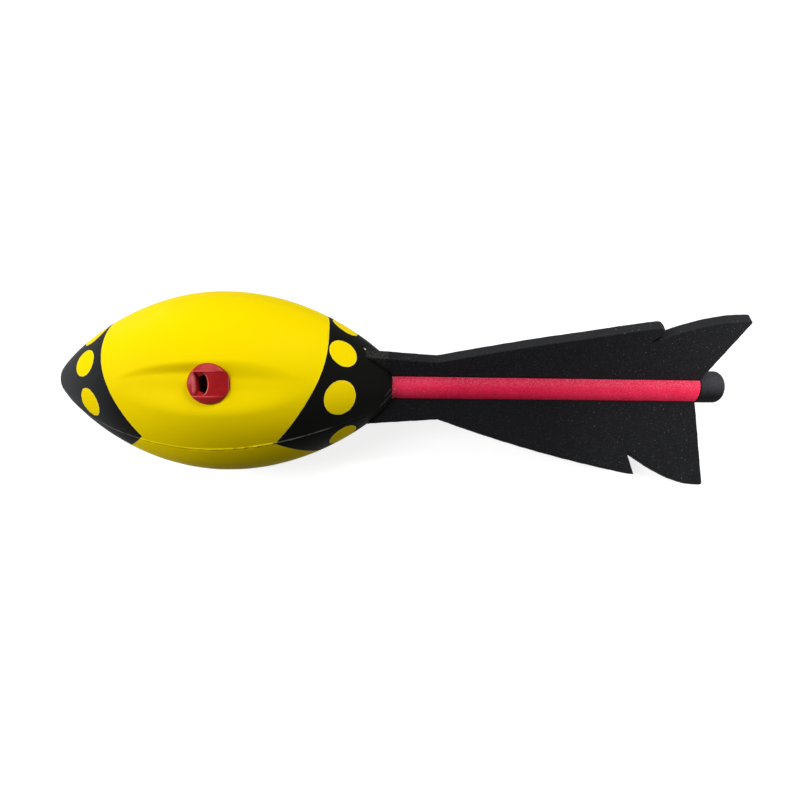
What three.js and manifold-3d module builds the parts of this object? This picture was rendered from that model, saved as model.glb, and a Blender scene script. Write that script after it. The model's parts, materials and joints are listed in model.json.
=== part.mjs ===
// Vortex throwing toy: a foam head with three whistles, and a foam stem with three foam fins.
// Millimetres, +Z up. It lies on its belly and on two fin tips, nose towards -X, one fin upright.
// Every piece is drawn along the toy's own axis: a station is a distance from the nose along +X,
// and an angle goes round the axis from -Y towards +Z.
import * as THREE from 'three';
import { mergeVertices } from 'three/addons/utils/BufferGeometryUtils.js';
import Module from 'manifold-3d';

const wasm = await Module();
wasm.setup();

// Shared sizes
const overallLength = 325;
const seatGap = 0.3; // between two pieces that touch
const overrun = 3; // how far a cutter runs past what it cuts
const weldDistance = 0.0005; // points closer than this are one point

// The foam head, a spindle of one moulding
const head = {
  length: 154,
  radius: 42.5,
  bellyStation: 76.5, // where the head is thickest
  noseFlatRadius: 4.7,
  mouthRadius: 9.3, // round the stem
  noseFullnessShare: 0.89, // powers of the two ends' curves
  tailFullnessShare: 0.9,
  rings: 36,
  columns: 72,
};

// The boat-shaped hollow round each whistle, which leads the air over it
const hollow = {
  halfLength: 38,
  halfWidth: 11.5,
  depth: 2.8,
};

// The whistles: a domed cap over a cup-shaped chamber, in a socket in the foam
const whistle = {
  count: 3,
  station: 75,
  firstAngle: 48.8, // degrees
  radius: 8.5,
  sink: 0.4, // the seat lies this far under the hollow's floor
  sideHeight: 1.5, // the straight part of the cap's side
  domeRise: 2.6,
  domeWall: 2.2,
  channelWidth: 9.4,
  channelDepth: 1,
  windowWidth: 8.8,
  windowFront: 5.1, // from the whistle's middle towards the nose
  windowLip: 1.4, // the lip's two ends, on the same side of the middle
  lipBulge: 1.3, // how far the lip's middle curves towards the tail
  lipLand: 0.5, // the lip's thickness at its edge
  lipTaper: 2.6, // length of the slope under the lip
  rampRun: 2.1, // how far the window's front wall slopes inwards
  rampBacking: 0.6, // how far the solid behind that wall runs past it
  spigotLength: 2.5,
  spigotWall: 1.2,
  cupWall: 1.3,
  cupFloor: 1.2,
  cupDepth: 13,
  sides: 40,
  domeSteps: 7,
  lipSteps: 8,
};

// The soft stem, the stiff core inside it and the black end piece
const stem = {
  radius: 8.25,
  insertion: 24, // length inside the head
  sides: 40,
};
const tip = {
  length: 14,
  edgeRadius: 2.8,
  edgeSteps: 5,
};
const core = {
  radius: 3,
  headDepth: 40, // length inside the head
  tipDepth: 8, // length inside the end piece
  chamfer: 0.6,
  sides: 24,
};

// The fins: flat foam plates with one notch, which leaves two feathers
const fin = {
  count: 3,
  firstAngle: 90, // degrees
  thickness: 5,
  rootSink: 3, // how far a fin's blank runs into the stem before the stem is cut from it
  shoulderReach: 20.7, // reaches are measured from the toy's axis
  waistReach: 18.3,
  waistFromHead: 21.5,
  edgeSwell: 1.5, // how far the long edge bulges from a straight line
  featherReach: 44.9,
  featherToTrail: 36.2, // from the first feather's corner to the trailing edge
  featherCorner: 1.6,
  featherUndercut: 1.7, // the first feather's end leans this far towards the tail
  featherEnd: 3.8, // length of the first feather's straight end
  notchReach: 34.8,
  notchToTrail: 38.2,
  bladeCrestReach: 47.9, // the second feather's curve leaves the notch towards this point
  bladeCrestToTrail: 16.2,
  tipReach: 49.7,
  tipOverhang: 1.4, // the tip lies this far behind the trailing edge's root
  tipCorner: 1.2,
  edgePoints: 10,
  frontPoints: 9,
  cornerPoints: 4,
};

const foamYellow = new THREE.MeshStandardMaterial({ color: 0xf4dc08, roughness: 0.55, metalness: 0 });
const foamBlack = new THREE.MeshStandardMaterial({ color: 0x1c1d20, roughness: 0.8, metalness: 0 });
const foamRed = new THREE.MeshStandardMaterial({ color: 0xe02a4e, roughness: 0.7, metalness: 0 });
const plasticRed = new THREE.MeshStandardMaterial({ color: 0xb31d2c, roughness: 0.25, metalness: 0 });
const plasticPale = new THREE.MeshStandardMaterial({ color: 0xd9d6cc, roughness: 0.5, metalness: 0 });

const { degToRad } = THREE.MathUtils;
const quarterTurn = Math.PI / 2;
const fullTurn = Math.PI * 2;

// Places that follow from the sizes
const stemTubeEnd = overallLength - tip.length - seatGap;
const stemStart = head.length - stem.insertion;
const coreStart = head.length - core.headDepth;
const coreEnd = stemTubeEnd + core.tipDepth;
const coreBoreRadius = core.radius + seatGap;
const whistleSeat = head.radius - hollow.depth - whistle.sink; // distance from the toy's axis
const whistleAngles = Array.from({ length: whistle.count },
  (_, i) => degToRad(whistle.firstAngle) + (fullTurn * i) / whistle.count);

// Geometry to closed solid and back

function solidOf(geometry) {
  const bare = geometry.clone();
  bare.deleteAttribute('normal');
  bare.deleteAttribute('uv');
  const welded = mergeVertices(bare, weldDistance);
  const corners = welded.index.array;
  const triVerts = [];
  for (let i = 0; i < corners.length; i += 3) {
    const [a, b, c] = corners.slice(i, i + 3);
    if (a !== b && b !== c && c !== a) triVerts.push(a, b, c);
  }
  return new wasm.Manifold(new wasm.Mesh({
    numProp: 3,
    vertProperties: Float32Array.from(welded.attributes.position.array),
    triVerts: Uint32Array.from(triVerts),
  }));
}

function geometryOf(solid) {
  const { vertProperties, triVerts } = solid.getMesh();
  const geometry = new THREE.BufferGeometry();
  geometry.setAttribute('position', new THREE.BufferAttribute(Float32Array.from(vertProperties), 3));
  geometry.setIndex(Array.from(triVerts));
  geometry.computeVertexNormals();
  return geometry;
}

// A profile of [radius, station] points turned round the X axis. It is listed from the nose to the
// tail, and starts and ends on the axis or closes on itself.
function turnedAlongX(points, sides) {
  const profile = points.map(([radius, station]) => new THREE.Vector2(radius, station));
  return new THREE.LatheGeometry(profile, sides).rotateZ(-quarterTurn);
}

// The same round the Z axis, listed from below to above
function turnedAlongZ(points, sides) {
  const profile = points.map(([radius, height]) => new THREE.Vector2(radius, height));
  return new THREE.LatheGeometry(profile, sides).rotateX(quarterTurn);
}

function rodAlongX(radius, from, to, sides) {
  return turnedAlongX([[0, from], [radius, from], [radius, to], [0, to]], sides);
}

// An outline of [x, y] points made a plate of the given thickness, its middle on z = 0
function plate(points, thickness) {
  const outline = new THREE.Shape(points.map(([x, y]) => new THREE.Vector2(x, y)));
  const slab = new THREE.ExtrudeGeometry(outline, { depth: thickness, bevelEnabled: false });
  return slab.translate(0, 0, -thickness / 2);
}

function arcPoints(centreX, centreY, radiusX, radiusY, from, to, steps) {
  return Array.from({ length: steps + 1 }, (_, i) => {
    const angle = from + ((to - from) * i) / steps;
    return [centreX + radiusX * Math.cos(angle), centreY + radiusY * Math.sin(angle)];
  });
}

function curvePoints(from, control, to, steps) {
  const curve = new THREE.QuadraticBezierCurve(
    new THREE.Vector2(...from), new THREE.Vector2(...control), new THREE.Vector2(...to));
  return curve.getPoints(steps).map((point) => [point.x, point.y]);
}

// A fin's corner, rounded by a short curve
function roundedCorner(before, corner, after, radius) {
  const along = (target) => {
    const step = new THREE.Vector2(...target).sub(new THREE.Vector2(...corner)).setLength(radius);
    return [corner[0] + step.x, corner[1] + step.y];
  };
  return curvePoints(along(before), corner, along(after), fin.cornerPoints);
}

// The head

// Radius of the head's plain spindle: a parabola on each side of the belly
function spindleRadius(station) {
  const towardsNose = station < head.bellyStation;
  const endRadius = towardsNose ? head.noseFlatRadius : head.mouthRadius;
  const reach = towardsNose ? head.bellyStation : head.length - head.bellyStation;
  const fullness = towardsNose ? head.noseFullnessShare : head.tailFullnessShare;
  const share = (station - head.bellyStation) / reach;
  return endRadius + (head.radius - endRadius) * Math.max(0, 1 - share * share) ** fullness;
}

// Depth of the hollow round the whistle at the given angle, zero outside its boat-shaped rim
function hollowDepth(station, angle, whistleAngle) {
  const lengthShare = (station - whistle.station) / hollow.halfLength;
  if (Math.abs(lengthShare) >= 1) return 0;
  const taper = 1 - lengthShare * lengthShare;
  const away = Math.atan2(Math.sin(angle - whistleAngle), Math.cos(angle - whistleAngle));
  const widthShare = (away * spindleRadius(station)) / (hollow.halfWidth * taper);
  if (Math.abs(widthShare) >= 1) return 0;
  return hollow.depth * taper * (1 - widthShare * widthShare) ** 2;
}

function headRadius(station, angle) {
  const depths = whistleAngles.map((whistleAngle) => hollowDepth(station, angle, whistleAngle));
  return spindleRadius(station) - Math.max(...depths);
}

// The head's rings lie closer together towards its two ends
const headStations = Array.from({ length: head.rings + 1 },
  (_, i) => (head.length * (1 - Math.cos((Math.PI * i) / head.rings))) / 2);

function headBlank() {
  const points = [];
  const corners = [];
  const columnOf = (j) => j % head.columns;
  headStations.forEach((station, i) => {
    for (let j = 0; j < head.columns; j += 1) {
      const angle = whistleAngles[0] + (fullTurn * j) / head.columns;
      const radius = headRadius(station, angle);
      points.push(station, -radius * Math.cos(angle), radius * Math.sin(angle));
      if (i === head.rings) continue;
      const [a, b] = [i * head.columns + j, i * head.columns + columnOf(j + 1)];
      corners.push(a, a + head.columns, b + head.columns, a, b + head.columns, b);
    }
  });
  const noseMiddle = points.length / 3;
  points.push(0, 0, 0, head.length, 0, 0);
  const lastRing = head.rings * head.columns;
  for (let j = 0; j < head.columns; j += 1) {
    corners.push(noseMiddle, j, columnOf(j + 1));
    corners.push(noseMiddle + 1, lastRing + columnOf(j + 1), lastRing + j);
  }
  const geometry = new THREE.BufferGeometry();
  geometry.setAttribute('position', new THREE.Float32BufferAttribute(points, 3));
  geometry.setIndex(corners);
  return geometry;
}

// Turns a solid drawn round a whistle's own axis, +Z outwards, to its place on the head
function atWhistle(geometry, angle) {
  return geometry.rotateX(quarterTurn - angle).translate(whistle.station, 0, 0);
}

function makeHead() {
  let body = solidOf(headBlank());
  const socketRadius = whistle.radius + seatGap;
  const socketFloor = whistleSeat - whistle.cupDepth - 2 * seatGap;
  const socketTop = head.radius + overrun;
  for (const angle of whistleAngles) {
    const socket = turnedAlongZ(
      [[0, socketFloor], [socketRadius, socketFloor], [socketRadius, socketTop], [0, socketTop]],
      whistle.sides);
    body = body.subtract(solidOf(atWhistle(socket, angle)));
  }
  const stemBore = rodAlongX(stem.radius + seatGap, stemStart - seatGap, head.length + overrun, stem.sides);
  const coreBore = rodAlongX(coreBoreRadius, coreStart - seatGap, stemStart, core.sides);
  return geometryOf(body.subtract(solidOf(stemBore)).subtract(solidOf(coreBore)));
}

// A whistle, drawn with its seat on z = 0, outwards along +Z and the line of flight along X

// Height of the dome, lowered by the given depth, at a distance from its middle
function domeHeight(distance, lowered) {
  const share = Math.min(1, Math.abs(distance) / whistle.radius);
  return whistle.sideHeight + whistle.domeRise * Math.sqrt(1 - share * share) - lowered;
}

const spigotRadius = whistle.radius - whistle.cupWall - seatGap;

function makeWhistleCap() {
  const bore = spigotRadius - whistle.spigotWall;
  const ceiling = domeHeight(0, whistle.domeWall);
  const inside = arcPoints(0, 0, bore, ceiling, quarterTurn, 0, whistle.domeSteps);
  const dome = arcPoints(0, whistle.sideHeight, whistle.radius, whistle.domeRise,
    0, quarterTurn, whistle.domeSteps);
  dome[whistle.domeSteps][0] = 0; // exactly on the axis
  inside[0][0] = 0;
  const cap = solidOf(turnedAlongZ([
    ...inside,
    [bore, -whistle.spigotLength],
    [spigotRadius, -whistle.spigotLength],
    [spigotRadius, 0],
    [whistle.radius, 0],
    ...dome,
  ], whistle.sides));

  // The channel: its floor follows the dome, a little lower
  const end = whistle.radius + overrun;
  const top = domeHeight(0, 0) + overrun;
  const floor = Array.from({ length: 2 * whistle.domeSteps + 1 }, (_, i) => {
    const along = -whistle.radius * Math.cos((Math.PI * i) / (2 * whistle.domeSteps));
    return [along, domeHeight(along, whistle.channelDepth)];
  });
  const floorEnd = domeHeight(whistle.radius, whistle.channelDepth);
  const channel = plate(
    [[-end, top], [-end, floorEnd], ...floor, [end, floorEnd], [end, top]], whistle.channelWidth);

  // The window: straight towards the nose, with a curved lip towards the tail
  const halfWindow = whistle.windowWidth / 2;
  const windowFoot = -whistle.windowFront + whistle.rampRun;
  const lip = curvePoints([-whistle.windowLip, -halfWindow],
    [2 * whistle.lipBulge - whistle.windowLip, 0], [-whistle.windowLip, halfWindow], whistle.lipSteps);
  const opening = plate([[windowFoot, halfWindow], [windowFoot, -halfWindow], ...lip], 2 * top);
  opening.translate(0, 0, top);

  // The ramp in front of the window, the solid behind it, and the slope that thins the lip from
  // inside
  const crest = domeHeight(whistle.windowFront, whistle.channelDepth);
  const rampFloor = -seatGap;
  const ramp = plate([
    [-whistle.windowFront, top], [-whistle.windowFront, crest - whistle.lipLand],
    [windowFoot, rampFloor], [windowFoot + seatGap, rampFloor], [windowFoot + seatGap, top],
  ], whistle.windowWidth);
  const backingStart = -whistle.windowFront - whistle.rampBacking;
  const backing = plate(
    [[backingStart, 0], [windowFoot, 0], [windowFoot, ceiling], [backingStart, ceiling]],
    whistle.windowWidth + 2 * whistle.rampBacking);
  const lipUnder = domeHeight(0, whistle.channelDepth) - whistle.lipLand;
  const slope = plate([
    [-whistle.windowLip, lipUnder], [-whistle.windowLip, 0],
    [whistle.lipTaper, 0], [whistle.lipBulge - whistle.windowLip, lipUnder],
  ], whistle.windowWidth);

  const whole = cap.add(solidOf(backing.rotateX(quarterTurn)));
  const cuts = [channel, ramp, slope].map((cut) => solidOf(cut.rotateX(quarterTurn)));
  return geometryOf(cuts.reduce((body, cut) => body.subtract(cut), whole).subtract(solidOf(opening)));
}

function makeWhistleCup() {
  const rim = -seatGap;
  const foot = rim - whistle.cupDepth;
  const bore = whistle.radius - whistle.cupWall;
  const floor = foot + whistle.cupFloor;
  return geometryOf(solidOf(turnedAlongZ(
    [[0, foot], [whistle.radius, foot], [whistle.radius, rim], [bore, rim], [bore, floor], [0, floor]],
    whistle.sides)));
}

// The tail

function makeStemTube() {
  return turnedAlongX([
    [coreBoreRadius, stemStart], [stem.radius, stemStart],
    [stem.radius, stemTubeEnd], [coreBoreRadius, stemTubeEnd], [coreBoreRadius, stemStart],
  ], stem.sides);
}

function makeStemCore() {
  const end = core.radius - core.chamfer;
  return turnedAlongX([
    [0, coreStart], [end, coreStart], [core.radius, coreStart + core.chamfer],
    [core.radius, coreEnd - core.chamfer], [end, coreEnd], [0, coreEnd],
  ], core.sides);
}

function makeStemTip() {
  const face = stemTubeEnd + seatGap;
  const boreEnd = coreEnd + seatGap;
  const edge = arcPoints(overallLength - tip.edgeRadius, stem.radius - tip.edgeRadius,
    tip.edgeRadius, tip.edgeRadius, quarterTurn, 0, tip.edgeSteps);
  return turnedAlongX([
    [0, boreEnd], [coreBoreRadius, boreEnd], [coreBoreRadius, face], [stem.radius, face],
    ...edge.map(([station, radius]) => [radius, station]), [0, overallLength],
  ], stem.sides);
}

// The fin's outline in [station, reach] points, from its root at the head round to the trailing edge
function finOutline() {
  const shoulderStation = findStation(fin.shoulderReach);
  const mouth = head.length + seatGap;
  const front = Array.from({ length: fin.frontPoints }, (_, i) => {
    const share = (i + 1) / fin.frontPoints;
    return clearOfHead(head.length + (shoulderStation - head.length) * share);
  });
  const rootReach = stem.radius - fin.rootSink;
  const waist = [head.length + fin.waistFromHead, fin.waistReach];
  const feather = [stemTubeEnd - fin.featherToTrail, fin.featherReach];
  const featherFoot = [feather[0] + fin.featherUndercut, feather[1] - fin.featherEnd];
  const notch = [stemTubeEnd - fin.notchToTrail, fin.notchReach];
  const crest = [stemTubeEnd - fin.bladeCrestToTrail, fin.bladeCrestReach];
  const tipPoint = [stemTubeEnd + fin.tipOverhang, fin.tipReach];
  const trailRoot = [stemTubeEnd, rootReach];
  const swell = [
    (waist[0] + feather[0]) / 2,
    (waist[1] + feather[1]) / 2 + 2 * fin.edgeSwell,
  ];
  return [
    [mouth, rootReach], [mouth, head.mouthRadius], ...front, waist,
    ...curvePoints(waist, swell, feather, fin.edgePoints).slice(1, -1),
    ...roundedCorner(swell, feather, featherFoot, fin.featherCorner),
    featherFoot, notch,
    ...curvePoints(notch, crest, tipPoint, fin.edgePoints).slice(1, -1),
    ...roundedCorner(crest, tipPoint, trailRoot, fin.tipCorner),
    trailRoot,
  ];
}

// A point just clear of the head's surface, square to it
function clearOfHead(station) {
  const step = seatGap;
  const rise = spindleRadius(station + step) - spindleRadius(station - step);
  const run = 2 * step;
  const length = Math.hypot(rise, run);
  return [station - (seatGap * rise) / length, spindleRadius(station) + (seatGap * run) / length];
}

// The station behind the belly where the head has the given radius
function findStation(radius) {
  let [near, far] = [head.bellyStation, head.length];
  while (far - near > weldDistance) {
    const middle = (near + far) / 2;
    if (spindleRadius(middle) > radius) near = middle;
    else far = middle;
  }
  return near;
}

function makeFin() {
  const stemCut = rodAlongX(stem.radius + seatGap, head.length - overrun, overallLength, stem.sides);
  return geometryOf(solidOf(plate(finOutline(), fin.thickness)).subtract(solidOf(stemCut)));
}

// The assembly, along the toy's own axis
const toy = new THREE.Group();

function addPiece(parent, name, geometry, material) {
  const piece = new THREE.Mesh(geometry, material.clone());
  piece.name = name;
  parent.add(piece);
  return piece;
}

addPiece(toy, 'foam_head', makeHead(), foamYellow);
whistleAngles.forEach((angle, i) => {
  const seat = new THREE.Group();
  const place = new THREE.Group();
  seat.position.set(whistle.station, 0, 0);
  seat.rotation.x = quarterTurn - angle;
  place.position.z = whistleSeat;
  addPiece(place, `whistle_cap_${i + 1}`, makeWhistleCap(), plasticRed);
  addPiece(place, `whistle_cup_${i + 1}`, makeWhistleCup(), plasticRed);
  seat.add(place);
  toy.add(seat);
});
addPiece(toy, 'stem_tube', makeStemTube(), foamRed);
addPiece(toy, 'stem_core', makeStemCore(), plasticPale);
addPiece(toy, 'stem_tip', makeStemTip(), foamBlack);
for (let i = 0; i < fin.count; i += 1) {
  const piece = addPiece(toy, `fin_${i + 1}`, makeFin(), foamBlack);
  piece.rotation.x = Math.PI - degToRad(fin.firstAngle) - (fullTurn * i) / fin.count;
}

// At rest the toy's tail hangs until two fin tips touch: the slope of the line that lies under the
// head and under those tips
const tipAngle = quarterTurn - fullTurn / fin.count / 2; // below the level, of the two lower fins
const tipDrop = fin.tipReach * Math.sin(tipAngle) + (fin.thickness / 2) * Math.cos(tipAngle);
const tipStation = stemTubeEnd + fin.tipOverhang;
const slopes = headStations.map(
  (station) => Math.atan2(spindleRadius(station) - tipDrop, tipStation - station));
toy.rotation.y = Math.max(...slopes);

const rest = new THREE.Group();
rest.add(toy);
rest.updateMatrixWorld(true);
const box = new THREE.Box3().setFromObject(rest, true);
toy.position.set(-(box.min.x + box.max.x) / 2, -(box.min.y + box.max.y) / 2, -box.min.z);

export default rest;
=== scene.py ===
import json
from math import asin, atan2, cos, pi, radians, sin, sqrt
import bmesh
import bpy
import numpy as np
from mathutils import Matrix, Vector


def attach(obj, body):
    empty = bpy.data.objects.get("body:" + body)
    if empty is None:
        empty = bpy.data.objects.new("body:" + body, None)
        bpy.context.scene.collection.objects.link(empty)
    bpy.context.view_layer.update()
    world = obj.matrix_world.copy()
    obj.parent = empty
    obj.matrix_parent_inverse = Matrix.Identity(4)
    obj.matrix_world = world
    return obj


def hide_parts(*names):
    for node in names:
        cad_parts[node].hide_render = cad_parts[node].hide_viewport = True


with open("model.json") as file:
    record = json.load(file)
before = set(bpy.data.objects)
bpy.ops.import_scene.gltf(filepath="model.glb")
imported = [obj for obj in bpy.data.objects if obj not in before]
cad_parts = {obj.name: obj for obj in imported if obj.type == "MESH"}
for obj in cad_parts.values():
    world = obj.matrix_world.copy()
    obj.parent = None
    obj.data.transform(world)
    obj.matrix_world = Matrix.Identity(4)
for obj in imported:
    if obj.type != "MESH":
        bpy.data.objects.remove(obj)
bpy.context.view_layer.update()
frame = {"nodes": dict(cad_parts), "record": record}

# Vortex throwing toy. Sizes are in millimetres along the toy's own axis: a station is a distance
# from the nose, and an angle goes round the axis from -Y towards +Z.
mm = 0.001
fullTurn = 2 * pi


# The toy's own axis runs between the two mounts at its ends

mounts = {mount["name"]: np.array(mount["pos_m"]) for mount in frame["record"]["mounts"]}
noseAt = mounts["nose_face"] / mm
tailAt = mounts["tail_end_face"] / mm
toyLength = np.linalg.norm(tailAt - noseAt)
alongAxis = (tailAt - noseAt) / toyLength
acrossAxis = np.array([0.0, 1.0, 0.0])
toyAxes = np.array([alongAxis, acrossAxis, np.cross(alongAxis, acrossAxis)])
tilt = atan2(-alongAxis[2], alongAxis[0])


def toWorld(points):  # toy millimetres to the frame's metres
    return (points @ toyAxes + noseAt) * mm


def radial(angle):  # unit vectors out of the axis
    return np.stack([np.zeros_like(angle), -np.cos(angle), np.sin(angle)], axis=-1)


def aboutAxis(station, reach, angle, aside=0):
    # the station along the axis, the reach out of it at the angle, and a step aside, square to both
    return (station[..., None] * [1.0, 0, 0] + reach[..., None] * radial(angle)
            + np.asarray(aside)[..., None] * radial(angle + pi / 2))


def addObject(name, data):
    made = bpy.data.objects.new(name, data)
    bpy.context.scene.collection.objects.link(made)
    return made


# Camera, fitted to the outline of the photographed toy

camera = {
    "station": 131.32, "distance": 277.92, "angle": 50.83,
    "yaw": 5.49, "pitch": 1.74, "roll": -0.74, "lens": 25.29,
}


def makeCamera():
    angle = radians(camera["angle"])
    facing = np.array([[1.0, 0, 0], radial(angle + pi / 2), radial(angle)])  # right, up, back
    roll, pitch, yaw = (Matrix.Rotation(radians(camera[name]), 3, axis)
                        for name, axis in (("roll", "Z"), ("pitch", "X"), ("yaw", "Y")))
    rows = np.array(roll @ pitch @ yaw) @ facing @ toyAxes
    place = toWorld(facing[0] * camera["station"] + facing[2] * camera["distance"])
    eye = addObject("camera", bpy.data.cameras.new("camera"))
    eye.matrix_world = Matrix.Translation(Vector(place)) @ Matrix(rows.T).to_4x4()
    eye.data.lens = camera["lens"]
    eye.data.sensor_width = 36
    eye.data.clip_start = 0.01
    bpy.context.scene.camera = eye


# Mesh helpers

def gridFaces(rows, columns, start=0, closedRows=False, closedColumns=True):
    # quads of a grid of points numbered row by row
    row, column = np.indices((rows - (not closedRows), columns - (not closedColumns)))
    corners = [(row + down) % rows * columns + (column + right) % columns
               for down, right in ((0, 0), (1, 0), (1, 1), (0, 1))]
    return np.stack(corners, axis=-1).reshape(-1, 4) + start


def shadeSmooth(mesh, angle=38):  # edges sharper than the angle stay sharp
    mesh.polygons.foreach_set("use_smooth", np.ones(len(mesh.polygons), dtype=bool))
    mesh.set_sharp_from_angle(angle=radians(angle))


def makeMesh(name, points, faces, finish=None, marks=None, smoothAngle=38):
    # doubles are merged and faces turned outwards
    mesh = bpy.data.meshes.new(name)
    mesh.from_pydata(toWorld(points).tolist(), [], faces)
    for mark, values in (marks or {}).items():
        mesh.attributes.new(mark, "FLOAT", "POINT").data.foreach_set("value", values.astype(np.float32))
    shell = bmesh.new()
    shell.from_mesh(mesh)
    bmesh.ops.remove_doubles(shell, verts=shell.verts, dist=2e-7)
    bmesh.ops.recalc_face_normals(shell, faces=shell.faces)
    shell.to_mesh(mesh)
    shell.free()
    shadeSmooth(mesh, smoothAngle)
    if finish:
        mesh.materials.append(finish.material)
    return addObject(name, mesh)


def dress(piece, slot, *nodes, fill=None):
    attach(piece, "root")
    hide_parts(*nodes)
    print("made", piece.name, len(piece.data.polygons), "faces")


def smoothStep(low, high, value):  # 3 share^2 - 2 share^3 of the way from low to high
    share = np.clip((value - low) / (high - low), 0, 1)
    return share * share * (3 - 2 * share)


def bezier(start, control, end, count):
    # (1 - share)^2 of the start, 2 share (1 - share) of the control point and share^2 of the end
    share = np.linspace(0, 1, count)[:, None]
    return (1 - share) ** 2 * start + 2 * share * (1 - share) * control + share ** 2 * end


def ripple(position, seed):
    # an irregular line between -1 and 1: three sines whose waves never line up
    return (np.sin(position + seed) + 0.6 * np.sin(position * 2.31 + 2.7 * seed)
            + 0.4 * np.sin(position * 4.87 + 5.1 * seed)) / 2


def wrapped(angle):  # the same direction, within half a turn either way
    return np.arctan2(np.sin(angle), np.cos(angle))


# Shader helpers

def operator(operation):  # it and its reflected form, as Math nodes
    return (lambda self, other: self.tree.maths(operation, self, other),
            lambda self, other: self.tree.maths(operation, other, self))


class Wire:  # one output of a node; reckoning with it adds Math nodes
    __add__, __radd__ = operator("ADD")
    __sub__, __rsub__ = operator("SUBTRACT")
    __mul__, __rmul__ = operator("MULTIPLY")
    __truediv__, __rtruediv__ = operator("DIVIDE")
    __pow__, __rpow__ = operator("POWER")

    def __init__(self, tree, socket):
        self.tree, self.socket = tree, socket

    def __abs__(self):
        return self.maths("ABSOLUTE")

    def maths(self, operation, *others):
        return self.tree.maths(operation, self, *others)

    def hypot(self, other):  # root of the sum of both squares
        return (self * self + other * other).maths("SQRT")

    def step(self, low, high):  # 0 at low, 1 at high, smooth between
        return self.tree.node("ShaderNodeMapRange", {"interpolation_type": "SMOOTHSTEP"},
                              {0: self, 1: low, 2: high})


class Nodes:  # a node tree
    def __init__(self, tree):
        self.nodes, self.links = tree.nodes, tree.links

    def fill(self, socket, value):
        if isinstance(value, Wire):
            self.links.new(value.socket, socket)
        else:
            socket.default_value = value

    def node(self, kind, settings=None, values=None, out=0):
        made = self.nodes.new(kind)
        for name, setting in (settings or {}).items():
            setattr(made, name, setting)
        for key, value in (values or {}).items():
            self.fill(made.inputs[key], value)
        return Wire(self, made.outputs[out])

    def maths(self, operation, *values):
        return self.node("ShaderNodeMath", {"operation": operation}, dict(enumerate(values)))

    def mix(self, share, one, other):
        return self.node("ShaderNodeMix", {"data_type": "RGBA"}, {0: share, 6: one, 7: other}, out=2)

    def seen(self):  # 1 for what shows straight, in a reflection or through glass
        direct = self.node("ShaderNodeLightPath", out="Is Camera Ray")
        outputs = direct.socket.node.outputs
        mirrored, through = (Wire(self, outputs[f"Is {kind} Ray"]) for kind in ("Glossy", "Transmission"))
        return direct.maths("MAXIMUM", mirrored).maths("MAXIMUM", through)


class Finish(Nodes):  # a material round one Principled shader
    def __init__(self, name, **constants):
        self.material = bpy.data.materials.new(name)
        self.material.use_nodes = True
        super().__init__(self.material.node_tree)
        self.shader = self.nodes["Principled BSDF"]
        self.feed(**constants)

    def feed(self, **values):
        for name, value in values.items():
            self.fill(self.shader.inputs[name.replace("_", " ")], value)

    def toyPlace(self):  # Object coordinates carried to the toy's axis, in millimetres
        place = self.node("ShaderNodeTexCoord", out="Object")
        return self.node("ShaderNodeMapping", {}, {
            "Vector": place, "Location": Vector(-(toyAxes @ noseAt)),
            "Rotation": (0, -tilt, 0), "Scale": (1 / mm,) * 3})

    def mark(self, name):  # an attribute of the mesh
        return self.node("ShaderNodeAttribute", {"attribute_name": name}, out="Fac")

    def split(self, place):  # station, across and up
        first = self.node("ShaderNodeSeparateXYZ", {}, {0: place})
        return [Wire(self, output) for output in first.socket.node.outputs]

    def scaled(self, vector, factors):  # a place or a colour, times three factors
        return self.node("ShaderNodeVectorMath", {"operation": "MULTIPLY"}, {0: vector, 1: factors})

    def noise(self, place, scale, detail=2.0, roughness=0.5):
        return self.node("ShaderNodeTexNoise", {}, {
            "Vector": place, "Scale": scale, "Detail": detail, "Roughness": roughness})

    def cells(self, place, scale):  # distance from the nearest of many scattered points
        return self.node("ShaderNodeTexVoronoi", {}, {"Vector": place, "Scale": scale})

    def bump(self, height, distance, strength=1.0):  # height 0 to 1, distance in millimetres
        return self.node("ShaderNodeBump", {}, {
            "Height": height, "Distance": distance * mm, "Strength": strength})


# The foam head: sizes

head = {
    "length": 154, "radius": 42.5, "bellyStation": 76.5,
    "noseFlat": 4.7, "noseFullness": 0.89, "mouth": 9.3, "tailFullness": 0.9,
    "noseRound": 1.0, "end": 153.3, "tuckStart": 148, "tuck": 1.55, "bore": 8.31, "boreDepth": 24,
    "seamDegrees": (6.84, 2.66, 4.24, 4.66, -16.09),  # powers of the share of the way from the belly
    "flashHeight": 0.45, "flashWidth": 0.36, "flashWander": 0.12, "chips": (84, 88.8),
    "grooveDepth": 0.16, "grooveWidth": 0.36, "grooveAway": 0.95,
    "dentStation": 47.7, "dentAngle": 101, "dentDepth": 0.8, "dentWidth": 3, "unevenness": 0.08,
    "ringGap": 0.9, "fineRingGap": 0.4, "fineRings": ((82, 94), (146, 154)),
    # degrees
    "columnGap": 1.3, "hollowColumnGap": 0.9, "hollowBand": 21, "seamColumnGap": 0.18, "seamBand": 2.2,
}
hollow = {  # its upper side is steeper than its lower one, most of all towards the nose
    "station": 75, "firstAngle": 48.8, "count": 3, "halfLength": 41, "depth": 2.8,
    "lowerWidth": 14, "lowerFlat": 0.1, "upperWidth": (9.8, 11.5), "upperFlat": (0.44, 0.12),
    "turnsAt": (72, 92),
}
whistleAngles = [radians(hollow["firstAngle"]) + fullTurn * i / hollow["count"]
                 for i in range(hollow["count"])]


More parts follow.
